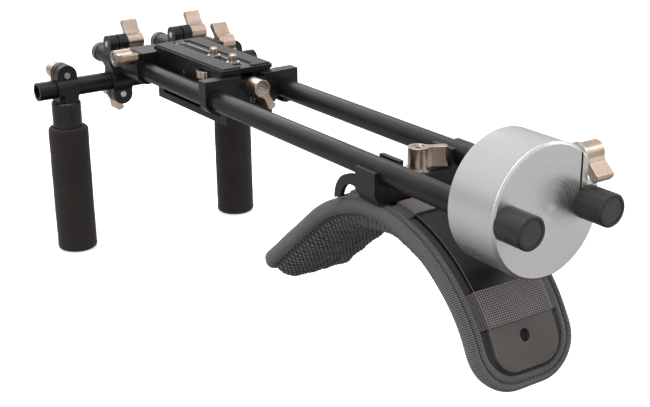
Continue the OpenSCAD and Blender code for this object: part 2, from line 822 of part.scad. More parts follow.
module handle_clamp(side) {
    half_l = clamp_len / 2;
    boss_w = 11;
    at_handle(side) difference() {
        union() {
            translate([-clamp_w / 2, 0, 0]) to_right() cylinder(r = ring_r, h = clamp_w);
            along(-half_l, clamp_len) tab_2d(clamp_w / 2, handle_ear_z, 0);
            translate([-clamp_w / 2, -half_l, -collar_z + 0.1]) cube([clamp_w, clamp_len, collar_z]);
            translate([-boss_w / 2 + 1.5, -half_l - 2.6, -collar_z + 0.1]) cube([boss_w, 6, collar_z - 3]);
        }
        translate([-big, 0, 0]) to_right() cylinder(r = bore_r, h = 2 * big);
        translate([-20, -slit / 2, 0]) cube([40, slit, 40]);
        translate([0, -20, handle_ear_z]) to_front() cylinder(r = bolt_hole_r, h = 40);
        translate([0, 0, -collar_z - 1]) cylinder(r = 4.1, h = collar_z + 1 - spigot_top);
        lever_relief(handle_ear_z);
    }
}

module at_handle_screw(side) {
    at_handle(side) translate([0, clamp_len / 2 + lever_gap, handle_ear_z]) to_front() children();
}

stem_r = 7;
grip_seat = 1.6;
grip_top = collar_z + collar_len - grip_seat;

module handle_stem(side) {
    at_handle(side) {
        translate([0, 0, -collar_z - collar_len + 1]) cylinder(d = collar_d, h = collar_len - 2);
        translate([0, 0, -collar_z - 1]) cylinder(d1 = collar_d, d2 = collar_d - 2, h = 1);
        translate([0, 0, -collar_z - collar_len]) cylinder(d1 = collar_d - 2, d2 = collar_d, h = 1);
        translate([0, 0, -collar_z - 1]) cylinder(r = 4, h = collar_z + 1 - spigot_top - 0.1);
        translate([0, 0, -grip_top - grip_len + 8]) cylinder(r = stem_r, h = grip_len - 8);
    }
}

module grip_2d() {
    r = grip_d / 2;
    corner = 3;
    translate([0, -grip_len + corner]) square([r, grip_len - 2 * corner]);
    translate([0, -grip_len]) square([r - corner, grip_len]);
    for (z = [-corner, -grip_len + corner]) translate([r - corner, z]) circle(r = corner);
}

module handle_grip(side) {
    at_handle(side) translate([0, 0, -grip_top]) difference() {
        rotate_extrude() grip_2d();
        translate([0, 0, -grip_len + 7.9]) cylinder(r = stem_r + 0.02, h = grip_len);
        translate([0, 0, -grip_seat - 0.02]) cylinder(d = collar_d + 0.1, h = 10);
    }
}

handle_turn = 90;
module handle_left_clamp() { color(satin_black) in_frame() handle_clamp(-1); }
module handle_left_screw() { color(steel) in_frame() at_handle_screw(-1) lever_screw(clamp_len + 0.8); }
module handle_left_lever() { color(bronze) in_frame() at_handle_screw(-1) lever(handle_turn); }
module handle_left_stem() { color("#4b4c4b") in_frame() handle_stem(-1); }
module handle_left_grip() { color(foam_grey) in_frame() handle_grip(-1); }
module handle_right_clamp() { color(satin_black) in_frame() handle_clamp(1); }
module handle_right_screw() { color(steel) in_frame() at_handle_screw(1) lever_screw(clamp_len + 0.8); }
module handle_right_lever() { color(bronze) in_frame() at_handle_screw(1) lever(handle_turn); }
module handle_right_stem() { color("#4b4c4b") in_frame() handle_stem(1); }
module handle_right_grip() { color(foam_grey) in_frame() handle_grip(1); }

rod_rear_left();
rod_rear_right();
rod_front_left();
rod_front_right();
rear_caps();
rear_cap_discs();
front_caps();
counterweight();
weight_washer();
weight_screw();
weight_lever();
saddle_bracket();
saddle_shell();
saddle_washer();
saddle_screw();
saddle_lever();
pad_cushion();
pad_binding();
pad_upper_straps();
pad_lower_straps();
base_block();
base_bracket_rear();
base_bracket_front();
base_screws();
base_rear_screw();
base_rear_lever();
base_left_screw();
base_left_lever();
base_right_screw();
base_right_lever();
plate_lock_screw();
plate_lock_knob();
camera_plate();
plate_strips();
camera_screw_front();
camera_washer_front();
camera_screw_rear();
camera_washer_rear();
cross_rod();
cross_clamp_left();
cross_left_top_screw();
cross_left_top_lever();
cross_left_low_screw();
cross_left_low_lever();
cross_clamp_right();
cross_right_top_screw();
cross_right_top_lever();
cross_right_low_screw();
cross_right_low_lever();
handle_left_clamp();
handle_left_screw();
handle_left_lever();
handle_left_stem();
handle_left_grip();
handle_right_clamp();
handle_right_screw();
handle_right_lever();
handle_right_stem();
handle_right_grip();
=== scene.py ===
import math
import random

import bmesh
import bpy
from mathutils import Matrix, Vector, noise


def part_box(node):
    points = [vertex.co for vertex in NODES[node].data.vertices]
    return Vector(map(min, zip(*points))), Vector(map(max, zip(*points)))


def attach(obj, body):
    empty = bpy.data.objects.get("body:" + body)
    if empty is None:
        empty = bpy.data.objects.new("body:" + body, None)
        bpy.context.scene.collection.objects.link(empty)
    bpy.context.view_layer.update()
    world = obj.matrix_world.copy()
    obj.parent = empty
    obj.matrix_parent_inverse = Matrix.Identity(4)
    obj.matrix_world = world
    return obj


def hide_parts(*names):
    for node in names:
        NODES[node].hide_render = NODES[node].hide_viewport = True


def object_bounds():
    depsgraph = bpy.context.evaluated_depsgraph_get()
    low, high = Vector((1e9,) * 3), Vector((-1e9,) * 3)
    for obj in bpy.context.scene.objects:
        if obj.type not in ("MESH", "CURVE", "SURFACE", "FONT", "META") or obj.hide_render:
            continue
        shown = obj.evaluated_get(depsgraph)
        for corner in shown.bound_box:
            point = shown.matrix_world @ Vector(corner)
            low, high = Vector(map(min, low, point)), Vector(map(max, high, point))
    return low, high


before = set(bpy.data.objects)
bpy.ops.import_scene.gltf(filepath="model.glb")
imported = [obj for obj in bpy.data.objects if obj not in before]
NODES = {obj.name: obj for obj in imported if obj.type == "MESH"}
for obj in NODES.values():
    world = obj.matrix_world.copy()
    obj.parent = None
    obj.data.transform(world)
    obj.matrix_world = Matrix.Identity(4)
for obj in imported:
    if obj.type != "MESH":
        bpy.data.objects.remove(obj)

cad_low, cad_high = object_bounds()
random.seed(7)


def mm(v):
    return v / 1000.0


# ---------------------------------------------------------------- camera, stage and light

cam_data = bpy.data.cameras.new("camera")
cam = bpy.data.objects.new("camera", cam_data)
bpy.context.scene.collection.objects.link(cam)
right = Vector((0.82642, -0.56294, -0.01137)).normalized()
forward = Vector((0.52648, 0.77973, -0.33887)).normalized()
up = right.cross(forward).normalized()
turn = Matrix((right, up, -forward)).transposed()
cam.matrix_world = Matrix.Translation((-0.4615, -0.8203, 0.2176)) @ turn.to_4x4()
cam_data.lens = 69.15
cam_data.sensor_width = 36.0
cam_data.clip_start = 0.02
cam_data.clip_end = 40.0
bpy.context.scene.camera = cam


def look_at(obj, target):
    obj.rotation_mode = "QUATERNION"
    obj.rotation_quaternion = (Vector(target) - obj.location).to_track_quat("-Z", "Y")


def soft_box(name, place, target, size, power, colour=(1, 1, 1)):
    data = bpy.data.lights.new(name, "AREA")
    data.shape = "RECTANGLE"
    data.size, data.size_y = size
    data.energy = power
    data.color = colour
    lamp = bpy.data.objects.new(name, data)
    lamp.location = place
    bpy.context.scene.collection.objects.link(lamp)
    look_at(lamp, target)
    return lamp


middle = (0.0, -0.05, -0.05)
soft_box("top_light", (-0.25, -0.25, 1.5), middle, (1.5, 1.5), 16)
soft_box("left_light", (-1.5, -0.5, 0.7), middle, (0.9, 0.9), 9, (1.0, 0.985, 0.97))
soft_box("right_light", (1.3, -0.9, 0.5), middle, (0.5, 1.1), 5, (0.97, 0.985, 1.0))
soft_box("back_light", (0.2, 1.5, 0.9), middle, (1.6, 0.6), 6)

world = bpy.data.worlds.new("studio")
bpy.context.scene.world = world
world.use_nodes = True
wt = world.node_tree
wt.nodes.clear()
w_out = wt.nodes.new("ShaderNodeOutputWorld")
w_bg = wt.nodes.new("ShaderNodeBackground")
w_ramp = wt.nodes.new("ShaderNodeValToRGB")
w_map = wt.nodes.new("ShaderNodeMapRange")
w_xyz = wt.nodes.new("ShaderNodeSeparateXYZ")
w_co = wt.nodes.new("ShaderNodeTexCoord")
w_map.inputs["From Min"].default_value = -1.0
w_map.inputs["From Max"].default_value = 1.0
for i, (at, tone) in enumerate(((0.10, 0.10), (0.26, 0.75), (0.42, 0.85), (0.49, 0.35), (0.62, 0.95))):
    stop = w_ramp.color_ramp.elements[i] if i < 2 else w_ramp.color_ramp.elements.new(at)
    stop.position = at
    stop.color = (tone, tone, tone, 1)
wt.links.new(w_co.outputs["Generated"], w_xyz.inputs[0])
wt.links.new(w_xyz.outputs["Z"], w_map.inputs["Value"])
wt.links.new(w_map.outputs[0], w_ramp.inputs[0])
wt.links.new(w_ramp.outputs[0], w_bg.inputs["Color"])
wt.links.new(w_bg.outputs[0], w_out.inputs[0])
w_bg.inputs["Strength"].default_value = 0.8
bpy.context.scene.view_settings.view_transform = "Standard"


# ---------------------------------------------------------------- node materials

class Shader:
    """A Principled material with a few short ways to add nodes."""

    def __init__(self, name, rough, metal=0.0, spec=0.5, coat=0.0, sheen=0.0):
        self.mat = bpy.data.materials.new(name)
        self.mat.use_nodes = True
        self.tree = self.mat.node_tree
        self.bsdf = self.tree.nodes["Principled BSDF"]
        self.bsdf.inputs["Roughness"].default_value = rough
        self.bsdf.inputs["Metallic"].default_value = metal
        self.bsdf.inputs["Specular IOR Level"].default_value = spec
        self.bsdf.inputs["Coat Weight"].default_value = coat
        self.bsdf.inputs["Sheen Weight"].default_value = sheen
        self.normal = None

    def node(self, kind, outputs=0, **inputs):
        n = self.tree.nodes.new("ShaderNode" + kind)
        for key, value in inputs.items():
            key = key.replace("_", " ")
            if hasattr(n, key.replace(" ", "_")) and key.replace(" ", "_") in n.bl_rna.properties:
                setattr(n, key.replace(" ", "_"), value)
                continue
            socket = n.inputs[key]
            if isinstance(value, bpy.types.NodeSocket):
                self.tree.links.new(value, socket)
            else:
                socket.default_value = value
        return n

    def link(self, a, b):
        self.tree.links.new(a, b)

    def math(self, op, a, b=0.0, c=None):
        n = self.tree.nodes.new("ShaderNodeMath")
        n.operation = op
        for i, v in enumerate((a, b, c)):
            if v is None:
                continue
            if isinstance(v, bpy.types.NodeSocket):
                self.link(v, n.inputs[i])
            else:
                n.inputs[i].default_value = v
        return n.outputs[0]

    def place(self):
        return self.node("TexCoord").outputs["Object"]

    def stretched(self, sx, sy, sz, source=None):
        m = self.tree.nodes.new("ShaderNodeMapping")
        m.inputs["Scale"].default_value = (sx, sy, sz)
        self.link(source or self.place(), m.inputs["Vector"])
        return m.outputs[0]

    def noise(self, vector, scale, detail=4.0, rough=0.55):
        n = self.tree.nodes.new("ShaderNodeTexNoise")
        self.link(vector, n.inputs["Vector"])
        n.inputs["Scale"].default_value = scale
        n.inputs["Detail"].default_value = detail
        n.inputs["Roughness"].default_value = rough
        return n.outputs["Fac"]

    def cells(self, vector, scale, feature="F1"):
        n = self.tree.nodes.new("ShaderNodeTexVoronoi")
        n.feature = feature
        self.link(vector, n.inputs["Vector"])
        n.inputs["Scale"].default_value = scale
        return n.outputs["Distance"]

    def ramp(self, fac, low, high, to_low=0.0, to_high=1.0):
        n = self.tree.nodes.new("ShaderNodeMapRange")
        self.link(fac, n.inputs["Value"])
        n.inputs["From Min"].default_value = low
        n.inputs["From Max"].default_value = high
        n.inputs["To Min"].default_value = to_low
        n.inputs["To Max"].default_value = to_high
        return n.outputs[0]

    def mix(self, fac, a, b):
        n = self.tree.nodes.new("ShaderNodeMix")
        n.data_type = "RGBA"
        for socket, v in ((n.inputs[0], fac), (n.inputs[6], a), (n.inputs[7], b)):
            if isinstance(v, bpy.types.NodeSocket):
                self.link(v, socket)
            elif isinstance(v, (int, float)):
                socket.default_value = v
            else:
                socket.default_value = (*v, 1.0)
        return n.outputs[2]

    def edges(self, radius, low=0.02, high=0.25):
        """Mask that is 1 on sharp edges. The rounded normal is kept for the shader."""
        b = self.tree.nodes.new("ShaderNodeBevel")
        b.samples = 6
        b.inputs["Radius"].default_value = radius
        g = self.tree.nodes.new("ShaderNodeNewGeometry")
        d = self.tree.nodes.new("ShaderNodeVectorMath")
        d.operation = "DOT_PRODUCT"
        self.link(b.outputs[0], d.inputs[0])
        self.link(g.outputs["Normal"], d.inputs[1])
        self.normal = b.outputs[0]
        return self.ramp(self.math("SUBTRACT", 1.0, d.outputs["Value"]), low, high)

    def bump(self, height, depth, strength=1.0):
        b = self.tree.nodes.new("ShaderNodeBump")
        b.inputs["Strength"].default_value = strength
        b.inputs["Distance"].default_value = depth
        self.link(height, b.inputs["Height"])
        if self.normal is not None:
            self.link(self.normal, b.inputs["Normal"])
        self.normal = b.outputs[0]

    def finish(self, colour=None, rough=None):
        if colour is not None:
            if isinstance(colour, bpy.types.NodeSocket):
                self.link(colour, self.bsdf.inputs["Base Color"])
            else:
                self.bsdf.inputs["Base Color"].default_value = (*colour, 1.0)
        if rough is not None:
            self.link(rough, self.bsdf.inputs["Roughness"])
        if self.normal is not None:
            self.link(self.normal, self.bsdf.inputs["Normal"])
        return self.mat


def anodised(name, dark, light, rough, axis=None, edge_highlight=0.35, metal=0.85, radius=0.0004):
    """Anodised or painted metal: fine drawn or blasted grain, cloudy tone, and brighter edges that are a
    painted highlight.
    """
    s = Shader(name, rough, metal, 0.5)
    edge_highlight_mask = s.edges(radius)
    place = s.place()
    scale = {"x": (40, 1400, 1400), "y": (1400, 40, 1400), "z": (1400, 1400, 40), None: (1, 1, 1)}[axis]
    if axis:
        grain = s.noise(s.stretched(*scale, place), 1.0, 3.0)
        s.bump(grain, 0.00001, 0.6)
    else:
        grain = s.noise(place, 2600.0, 2.0)
        s.bump(grain, 0.00002, 0.7)
    cloud = s.noise(place, 38.0, 5.0)
    scuff = s.noise(s.stretched(300, 30, 300, place), 1.0, 6.0, 0.7)
    tone = s.mix(s.ramp(cloud, 0.35, 0.7), dark, light)
    # brighter edges: a painted highlight along the sharp edges, broken up by scuff noise
    broken_edge_highlight = s.math("MULTIPLY", edge_highlight_mask, s.ramp(scuff, 0.35, 0.75, 0.3, 1.0))
    bright = tuple(min(1.0, c * 2.2 + 0.12) for c in light)
    colour = s.mix(s.math("MULTIPLY", broken_edge_highlight, edge_highlight), tone, bright)
    by_cloud = s.ramp(cloud, 0.3, 0.7, rough - 0.04, rough + 0.05)
    r = s.math("ADD", s.ramp(grain, 0.3, 0.7, -0.05, 0.06), by_cloud)
    return s.finish(colour, r)


def brushed_turned():
    """Turned and brushed steel of the weight: fine rings on its faces and round its rim."""
    s = Shader("weight_steel", 0.30, 1.0, 0.5)
    s.edges(0.0006)
    place = s.place()
    xyz = s.node("SeparateXYZ", Vector=place)
    lo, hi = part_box("counterweight")
    cx, cz = (lo.x + hi.x) / 2, hi.z - 0.040
    dx = s.math("SUBTRACT", xyz.outputs["X"], cx)
    dz = s.math("SUBTRACT", xyz.outputs["Z"], cz)
    radial = s.math("SQRT", s.math("ADD", s.math("MULTIPLY", dx, dx), s.math("MULTIPLY", dz, dz)))
    across = s.math("MULTIPLY", radial, 2600.0)
    along = s.math("MULTIPLY", xyz.outputs["Y"], 3200.0)
    rings = s.node("CombineXYZ", X=across, Y=along)
    lines = s.noise(rings.outputs[0], 1.0, 3.0, 0.6)
    fine = s.noise(s.stretched(60, 2500, 60, place), 1.0, 4.0)
    cloud = s.noise(place, 30.0, 4.0)
    s.bump(lines, 0.000012, 0.55)
    colour = s.mix(s.ramp(lines, 0.3, 0.7), (0.66, 0.655, 0.645), (0.84, 0.835, 0.825))
    colour = s.mix(s.ramp(cloud, 0.4, 0.75, 0.0, 0.35), colour, (0.74, 0.725, 0.71))
    rough = s.math("ADD", s.ramp(lines, 0.3, 0.7, 0.25, 0.36), s.ramp(fine, 0.3, 0.7, -0.03, 0.03))
    s.bsdf.inputs["Anisotropic"].default_value = 0.7
    tangent = s.node("CombineXYZ", X=s.math("MULTIPLY", dz, 1.0), Z=s.math("MULTIPLY", dx, -1.0))
    s.link(tangent.outputs[0], s.bsdf.inputs["Tangent"])
    return s.finish(colour, rough)


def bronze():
    s = Shader("bronze_anodised", 0.30, 1.0, 0.5)
    edge_highlight = s.edges(0.0006, 0.01, 0.22)
    place = s.place()
    grain = s.noise(place, 2200.0, 2.0)
    streak = s.noise(s.stretched(900, 900, 60, place), 1.0, 4.0)
    cloud = s.noise(place, 60.0, 4.0)
    s.bump(grain, 0.00002, 0.6)
    colour = s.mix(s.ramp(cloud, 0.35, 0.7), (0.56, 0.425, 0.335), (0.68, 0.53, 0.435))
    colour = s.mix(s.math("MULTIPLY", s.ramp(streak, 0.45, 0.7), 0.25), colour, (0.74, 0.62, 0.53))
    # lighter edges: a painted highlight along the sharp edges
    colour = s.mix(s.math("MULTIPLY", edge_highlight, 0.6), colour, (0.90, 0.80, 0.70))
    return s.finish(colour, s.ramp(grain, 0.3, 0.7, 0.24, 0.36))


def steel(name, colour, rough=0.25):
    s = Shader(name, rough, 1.0, 0.5)
    edge_highlight = s.edges(0.0003, 0.01, 0.25)
    place = s.place()
    lines = s.noise(s.stretched(2200, 2200, 300, place), 1.0, 3.0)
    s.bump(lines, 0.00001, 0.5)
    tone = s.mix(s.ramp(lines, 0.3, 0.7), tuple(c * 0.82 for c in colour), colour)
    # near-white edges: a painted highlight along the sharp edges
    tone = s.mix(s.math("MULTIPLY", edge_highlight, 0.4), tone, (0.9, 0.9, 0.9))
    return s.finish(tone, s.ramp(lines, 0.3, 0.7, rough - 0.05, rough + 0.08))


def plastic(name, dark, light, rough, grain=1500.0, depth=0.00003, edge_highlight=0.25, spec=0.5, radius=0.0005):
    s = Shader(name, rough, 0.0, spec)
    mask = s.edges(radius, 0.01, 0.22)
    place = s.place()
    leather = s.cells(place, grain)
    cloud = s.noise(place, 45.0, 5.0)
    scuff = s.noise(s.stretched(220, 60, 220, place), 1.0, 6.0, 0.7)
    s.bump(leather, depth, 0.5)
    tone = s.mix(s.ramp(cloud, 0.35, 0.7), dark, light)
    scuffed = s.math("MULTIPLY", s.ramp(scuff, 0.55, 0.8), 0.12)
    tone = s.mix(scuffed, tone, tuple(c * 2.5 + 0.02 for c in light))
    # lighter edges: a painted highlight along the sharp edges
    tone = s.mix(s.math("MULTIPLY", mask, edge_highlight), tone, tuple(min(1.0, c * 3.0 + 0.08) for c in light))
    return s.finish(tone, s.ramp(cloud, 0.3, 0.7, rough - 0.05, rough + 0.06))


# Where the plate's slot floor begins and ends, each as the two ends of a soft edge, in metres.
SLOT_SIDE = (0.0053, 0.0056)
SLOT_END = (0.0502, 0.0506)
SLOT_FLOOR = (-0.0016, -0.0012)
SLOT_MIDDLE_Y = 0.02275


def plate_metal():
    """Black plate with a painted highlight on its edges, and a bare silver floor in its slot."""
    s = Shader("plate_graphite", 0.34, 0.7, 0.5)
    mask = s.edges(0.0005)
    place = s.place()
    xyz = s.node("SeparateXYZ", Vector=place)
    grain = s.noise(s.stretched(1400, 40, 1400, place), 1.0, 3.0)
    cloud = s.noise(place, 38.0, 5.0)
    s.bump(grain, 0.00001, 0.6)
    tone = s.mix(s.ramp(cloud, 0.35, 0.7), (0.016, 0.016, 0.017), (0.030, 0.030, 0.031))
    in_slot = s.ramp(s.math("ABSOLUTE", xyz.outputs["X"]), *SLOT_SIDE, 1.0, 0.0)
    below = s.ramp(xyz.outputs["Z"], *SLOT_FLOOR, 1.0, 0.0)
    from_middle = s.math("ABSOLUTE", s.math("SUBTRACT", xyz.outputs["Y"], SLOT_MIDDLE_Y))
    in_slot = s.math("MULTIPLY", in_slot, s.ramp(from_middle, *SLOT_END, 1.0, 0.0))
    bare = s.mix(grain, (0.30, 0.30, 0.305), (0.46, 0.46, 0.465))
    tone = s.mix(s.math("MULTIPLY", in_slot, below), tone, bare)
    # light edges: a painted highlight along the plate's sharp edges
    tone = s.mix(s.math("MULTIPLY", mask, 0.75), tone, (0.26, 0.26, 0.265))
    return s.finish(tone, s.ramp(grain, 0.3, 0.7, 0.28, 0.40))


def shell_plastic():
    """Shell: near black over the top, worn to a lighter grey-brown at its two ends."""
    s = Shader("shell_plastic", 0.4, 0.0, 0.35)
    mask = s.edges(0.0007, 0.01, 0.22)
    place = s.place()
    xyz = s.node("SeparateXYZ", Vector=place)
    leather = s.cells(place, 1300.0)
    cloud = s.noise(place, 45.0, 5.0)
    scuff = s.noise(s.stretched(220, 60, 220, place), 1.0, 6.0, 0.7)
    s.bump(leather, 0.00003, 0.5)
    end = s.ramp(xyz.outputs["Z"], -0.083, -0.091, 0.0, 1.0)
    tone = s.mix(s.ramp(cloud, 0.35, 0.7), (0.006, 0.0056, 0.0054), (0.010, 0.0094, 0.009))
    pale = s.mix(s.ramp(cloud, 0.35, 0.7), (0.078, 0.067, 0.063), (0.100, 0.087, 0.082))
    tone = s.mix(end, tone, pale)
    tone = s.mix(s.math("MULTIPLY", s.ramp(scuff, 0.55, 0.8), 0.15), tone, (0.12, 0.11, 0.105))
    # light edges: a painted highlight along the shell's sharp edges
    tone = s.mix(s.math("MULTIPLY", mask, 0.8), tone, (0.34, 0.32, 0.31))
    return s.finish(tone, s.ramp(cloud, 0.3, 0.7, 0.34, 0.46))


def foam():
    s = Shader("grip_foam", 0.92, 0.0, 0.22, sheen=0.15)
    place = s.place()
    pores = s.cells(place, 1500.0)
    fine = s.noise(place, 2400.0, 3.0)
    cloud = s.noise(place, 60.0, 5.0)
    s.bump(s.math("ADD", pores, fine), 0.00022, 0.8)
    # darkest in the pores: painted shade in the pits of the foam
    tone = s.mix(s.ramp(pores, 0.1, 0.6), (0.006, 0.005, 0.0045), (0.022, 0.018, 0.016))
    tone = s.mix(s.ramp(cloud, 0.4, 0.7, 0.0, 0.35), tone, (0.027, 0.022, 0.020))
    return s.finish(tone)


def weave_place(s):
    """The cloth coordinates that the pad's pieces carry, in mm: x along, y across, z height."""
    n = s.tree.nodes.new("ShaderNodeAttribute")
    n.attribute_name = "cloth_mm"
    return n.outputs["Vector"]


def wave(s, value, pitch, phase=0.0):
    """0 to 1 ripple of that pitch."""
    w = s.math("SINE", s.math("ADD", s.math("MULTIPLY", value, 2 * math.pi / pitch), phase))
    return s.math("ADD", s.math("MULTIPLY", w, 0.5), 0.5)


def grosgrain():
    """Ribbed edge tape: cords across it, with fine yarn texture, painted shade between the cords and painted
    shade in the sewn groove.
    """
    s = Shader("binding_tape", 0.72, 0.0, 0.3, sheen=0.35)
    cloth = weave_place(s)
    xyz = s.node("SeparateXYZ", Vector=cloth)
    rib = wave(s, xyz.outputs["X"], 1.3, -math.pi / 2)
    yarn = wave(s, xyz.outputs["Y"], 0.42)
    fuzz = s.noise(s.place(), 1900.0, 3.0)
    cloud = s.noise(s.place(), 55.0, 4.0)
    on_rib = s.math("MULTIPLY", s.math("MULTIPLY", yarn, rib), 0.35)
    height = s.math("ADD", s.math("MULTIPLY", rib, 1.0), on_rib)
    s.bump(s.math("ADD", height, s.math("MULTIPLY", fuzz, 0.35)), 0.00022, 0.9)
    # dark valleys between the cords: painted shade
    tone = s.mix(s.ramp(rib, 0.1, 0.75), (0.012, 0.0117, 0.012), (0.19, 0.183, 0.186))
    tone = s.mix(s.ramp(yarn, 0.0, 0.5, 0.35, 0.0), tone, (0.08, 0.078, 0.08))
    tone = s.mix(s.ramp(cloud, 0.4, 0.7, 0.0, 0.2), tone, (0.10, 0.096, 0.098))
    # darker in the sewn groove: painted shade
    tone = s.mix(s.math("MULTIPLY", xyz.outputs["Z"], 0.9), tone, (0.012, 0.012, 0.012))
    return s.finish(tone, s.ramp(fuzz, 0.3, 0.7, 0.66, 0.82))


STRAP_HALF = 32.0


def webbing():
    """Woven strap: rows of small raised squares, slightly warm grey, with painted shade in the gaps between
    them and on the strap's ends where they come down the shell's sides onto the pad.
    """
    s = Shader("webbing", 0.68, 0.0, 0.3, sheen=0.3)
    cloth = weave_place(s)
    xyz = s.node("SeparateXYZ", Vector=cloth)
    a = s.math("MULTIPLY", xyz.outputs["X"], 1.0)
    b = s.math("MULTIPLY", xyz.outputs["Y"], 1.0)
    warp = wave(s, a, 1.6)
    weft = wave(s, b, 1.3)
    cross = s.math("MULTIPLY", warp, weft)
    fuzz = s.noise(s.place(), 2100.0, 3.0)
    cloud = s.noise(s.place(), 50.0, 4.0)
    s.bump(s.math("ADD", cross, s.math("MULTIPLY", fuzz, 0.35)), 0.0003, 0.95)
    # darker between the raised squares: painted shade
    tone = s.mix(s.ramp(cross, 0.05, 0.6), (0.030, 0.026, 0.027), (0.34, 0.285, 0.28))
    tone = s.mix(s.ramp(cloud, 0.35, 0.7, 0.0, 0.25), tone, (0.20, 0.17, 0.17))
    # painted shade on the strap's ends beside the shell
    side = s.math("ABSOLUTE", s.math("SUBTRACT", xyz.outputs["X"], STRAP_HALF))
    tone = s.mix(s.ramp(side, STRAP_HALF - 7.0, STRAP_HALF - 5.5, 0.0, 0.65), tone, (0.028, 0.026, 0.027))
    return s.finish(tone, s.ramp(fuzz, 0.3, 0.7, 0.6, 0.8))


def spacer_mesh():
    """Knitted spacer mesh of the pad's underside: rows of raised loops, with painted shade in the gaps and a
    painted highlight on the loop tops.
    """
    s = Shader("spacer_mesh", 0.75, 0.0, 0.28, sheen=0.25)
    cloth = weave_place(s)
    xyz = s.node("SeparateXYZ", Vector=cloth)
    fuzz = s.noise(s.place(), 2300.0, 3.0)
    cloud = s.noise(s.place(), 40.0, 4.0)
    nub = s.ramp(xyz.outputs["Z"], 0.15, 0.85)
    s.bump(fuzz, 0.00012, 0.8)
    # dark gaps between the loops are painted shade; the light loop tops are a painted highlight
    tone = s.mix(nub, (0.004, 0.004, 0.004), (0.045, 0.044, 0.042))
    tone = s.mix(s.ramp(xyz.outputs["Z"], 0.75, 0.95, 0.0, 0.9), tone, (0.26, 0.25, 0.24))
    tone = s.mix(s.ramp(cloud, 0.4, 0.7, 0.0, 0.3), tone, (0.035, 0.034, 0.033))
    return s.finish(tone)


def cloth_top():
    """Smooth woven nylon on the pad's top, with painted shade where the weave dips."""
    s = Shader("pad_cloth", 0.62, 0.0, 0.35, sheen=0.3)
    cloth = weave_place(s)
    xyz = s.node("SeparateXYZ", Vector=cloth)
    warp = wave(s, xyz.outputs["X"], 0.5)
    weft = wave(s, xyz.outputs["Y"], 0.5, math.pi / 2)
    fuzz = s.noise(s.place(), 2000.0, 3.0)
    cloud = s.noise(s.place(), 45.0, 5.0)
    weave = s.math("MULTIPLY", warp, weft)
    s.bump(s.math("ADD", weave, s.math("MULTIPLY", fuzz, 0.5)), 0.0001, 0.8)
    # darker where the weave dips: painted shade
    tone = s.mix(s.ramp(weave, 0.0, 0.8), (0.010, 0.009, 0.009), (0.032, 0.029, 0.028))
    tone = s.mix(s.ramp(cloud, 0.35, 0.7, 0.0, 0.35), tone, (0.022, 0.020, 0.020))
    return s.finish(tone)


def thread():
    s = Shader("thread", 0.6, 0.0, 0.35, sheen=0.3)
    place = s.place()
    twist = s.noise(s.stretched(3000, 1200, 3000, place), 1.0, 2.0)
    s.bump(twist, 0.00004, 0.8)
    return s.finish(s.mix(twist, (0.10, 0.097, 0.098), (0.30, 0.29, 0.29)))


def pale_floor():
    s = Shader("floor", 0.9, 0.0, 0.1)
    place = s.place()
    tone = s.mix(s.noise(place, 3.0, 3.0), (0.93, 0.93, 0.93), (0.95, 0.95, 0.95))
    s.bsdf.inputs["Emission Color"].default_value = (1, 1, 1, 1)
    s.bsdf.inputs["Emission Strength"].default_value = 0.42
    return s.finish(tone)


ROD = anodised("rod_black", (0.015, 0.015, 0.0155), (0.024, 0.024, 0.025), 0.34, "y", 0.5, 0.6)
ROD_X = anodised("cross_rod_black", (0.015, 0.015, 0.0155), (0.024, 0.024, 0.025), 0.34, "x", 0.5, 0.6)
BLACK = anodised("clamp_black", (0.012, 0.012, 0.0125), (0.021, 0.021, 0.022), 0.33, None, 0.75, 0.4, 0.0005)
COLLAR = anodised("collar_grey", (0.022, 0.022, 0.0225), (0.036, 0.036, 0.036), 0.34, None, 0.5, 0.6)
PLATE = plate_metal()
BRONZE = bronze()
STEEL = steel("bright_steel", (0.66, 0.66, 0.65))
DARK_STEEL = steel("dark_screw", (0.17, 0.17, 0.175), 0.3)
WEIGHT = brushed_turned()
CAP = plastic("cap_black", (0.012, 0.012, 0.012), (0.020, 0.020, 0.020), 0.38, 1600.0, 0.00002, 0.5)
CAP_GREY = plastic("cap_grey", (0.070, 0.072, 0.074), (0.10, 0.10, 0.105), 0.4, 1600.0, 0.00002, 0.4)
DISC = plastic("disc_grey", (0.030, 0.033, 0.035), (0.050, 0.053, 0.055), 0.2, 2600.0, 0.00001, 0.4)
SHELL = shell_plastic()
RUBBER = plastic("strip_rubber", (0.020, 0.020, 0.021), (0.030, 0.030, 0.031), 0.5,
                 2200.0, 0.00004, 0.9, 0.45, 0.0004)
FOAM = foam()
TAPE = grosgrain()
WEBBING = webbing()
MESH = spacer_mesh()
CLOTH = cloth_top()
THREAD = thread()

LOOKS = {
    "counterweight": WEIGHT, "rear_caps": CAP, "rear_cap_discs": DISC, "front_caps": CAP_GREY,
    "saddle_shell": SHELL, "camera_plate": PLATE, "plate_strips": RUBBER, "cross_rod": ROD_X,
    "base_screws": DARK_STEEL, "pad_cushion": CLOTH, "pad_binding": TAPE,
    "handle_left_grip": FOAM, "handle_right_grip": FOAM,
    "handle_left_stem": COLLAR, "handle_right_stem": COLLAR,
}


def look_of(name):
    if name in LOOKS:
        return LOOKS[name]
    if name.startswith("rod_"):
        return ROD
    if name.startswith("camera_screw") or name.endswith(("lever", "knob")):
        return BRONZE
    if name.endswith("screw") or "washer" in name:
        return STEEL
    if name.endswith("straps"):
        return WEBBING
    return BLACK


for name, node in NODES.items():
    node.data.materials.clear()
    node.data.materials.append(look_of(name))


# ---------------------------------------------------------------- mesh helpers

def new_piece(name, mesh, material, body):
    mesh.materials.append(material)
    piece = bpy.data.objects.new(name, mesh)
    bpy.context.scene.collection.objects.link(piece)
    for poly in mesh.polygons:
        poly.use_smooth = True
    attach(piece, body)
    return piece


